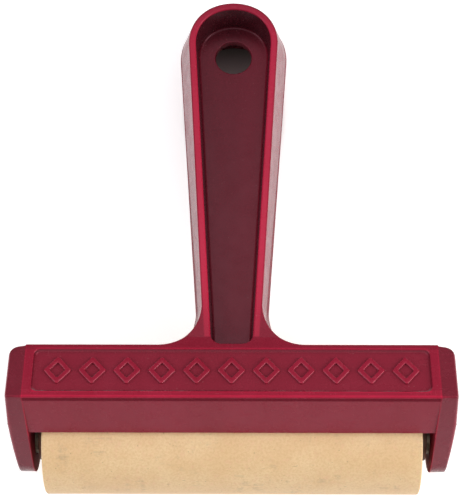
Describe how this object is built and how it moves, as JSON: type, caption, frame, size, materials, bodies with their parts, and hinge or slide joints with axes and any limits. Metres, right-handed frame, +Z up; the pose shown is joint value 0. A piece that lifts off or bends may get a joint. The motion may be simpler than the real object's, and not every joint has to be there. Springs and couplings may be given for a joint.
{
  "type": "rubber brayer",
  "caption": "Hand brayer with a tan rubber roller under a hooded crossbar, and a tapered one-piece plastic handle with a hanging hole.",
  "frame": {"origin": "on the bench, under the middle of the outer box of the brayer as it rests on its roller and its handle's end", "axes": "+X along the roller, +Y from the roller towards the handle's end, +Z up"},
  "size_m": [0.1184, 0.1392, 0.0492],
  "materials": {
    "frame_plastic": "dark red moulded plastic, semi-gloss",
    "axle_steel": "plain turned steel",
    "bushing_plastic": "dark brown, satin",
    "tube_metal": "drawn tube, satin",
    "roller_rubber": "natural tan gum rubber, matte"
  },
  "bodies": {
    "frame": {"frame": "frame_plastic", "axle": "axle_steel"},
    "roller": {"rubber_sleeve": "roller_rubber", "core_tube": "tube_metal", "left_bushing": "bushing_plastic", "right_bushing": "bushing_plastic"}
  },
  "joints": [
    {"name": "roller_spin", "type": "hinge", "parent": "frame", "child": "roller", "pos_m": [0, -0.05377, 0.01588], "axis": [1, 0, 0], "continuous": true}
  ]
}
